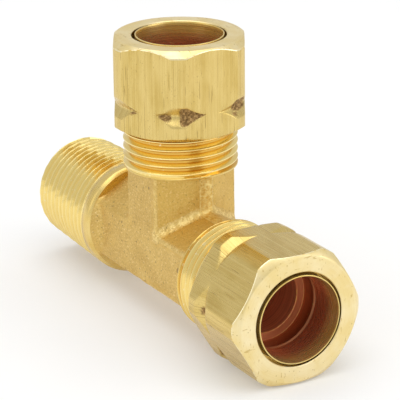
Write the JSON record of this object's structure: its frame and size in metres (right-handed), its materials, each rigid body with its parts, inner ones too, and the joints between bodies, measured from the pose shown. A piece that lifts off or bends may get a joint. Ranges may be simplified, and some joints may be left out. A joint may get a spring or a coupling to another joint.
{
  "type": "compression tube tee",
  "caption": "Brass compression run tee: tube ports with hexagon nuts and flanged sleeves on the run and the branch, tapered male pipe thread on the run's other end.",
  "frame": {"origin": "middle of the small end of the tapered male pipe thread, on the run's axis", "axes": "+X along the run from the pipe thread to the run's tube port, +Z along the branch, towards its tube port; the forging's flat faces look along +Y and -Y"},
  "size_m": [0.0672, 0.0212, 0.0437],
  "materials": {
    "forged_brass": "matte forged skin, bright turned threads",
    "turned_brass": "drawn bar with fine streaks, turned ends",
    "sleeve_brass": "smooth turned"
  },
  "bodies": {
    "tee_body": {"tee_body": "forged_brass"},
    "run_sleeve": {"run_sleeve": "sleeve_brass"},
    "run_nut": {"run_nut": "turned_brass"},
    "branch_sleeve": {"branch_sleeve": "sleeve_brass"},
    "branch_nut": {"branch_nut": "turned_brass"}
  },
  "joints": [
    {"name": "run_sleeve_travel", "type": "slide", "parent": "tee_body", "child": "run_sleeve", "axis": [1, 0, 0], "range_m": [-0.0003, 0.0084]},
    {"name": "run_nut_turn", "type": "hinge", "parent": "run_sleeve", "child": "run_nut", "pos_m": [0.0602, 0, 0], "axis": [1, 0, 0], "range_deg": [-80, 2340]},
    {"name": "branch_sleeve_travel", "type": "slide", "parent": "tee_body", "child": "branch_sleeve", "axis": [0, 0, 1], "range_m": [-0.0003, 0.0084]},
    {"name": "branch_nut_turn", "type": "hinge", "parent": "branch_sleeve", "child": "branch_nut", "pos_m": [0.0332, 0, 0.027], "axis": [0, 0, 1], "range_deg": [-80, 2340]}
  ],
  "couplings": [
    {"joint": "run_sleeve_travel", "follows": "run_nut_turn", "m_per_rad": 0.00020213},
    {"joint": "branch_sleeve_travel", "follows": "branch_nut_turn", "m_per_rad": 0.00020213}
  ]
}
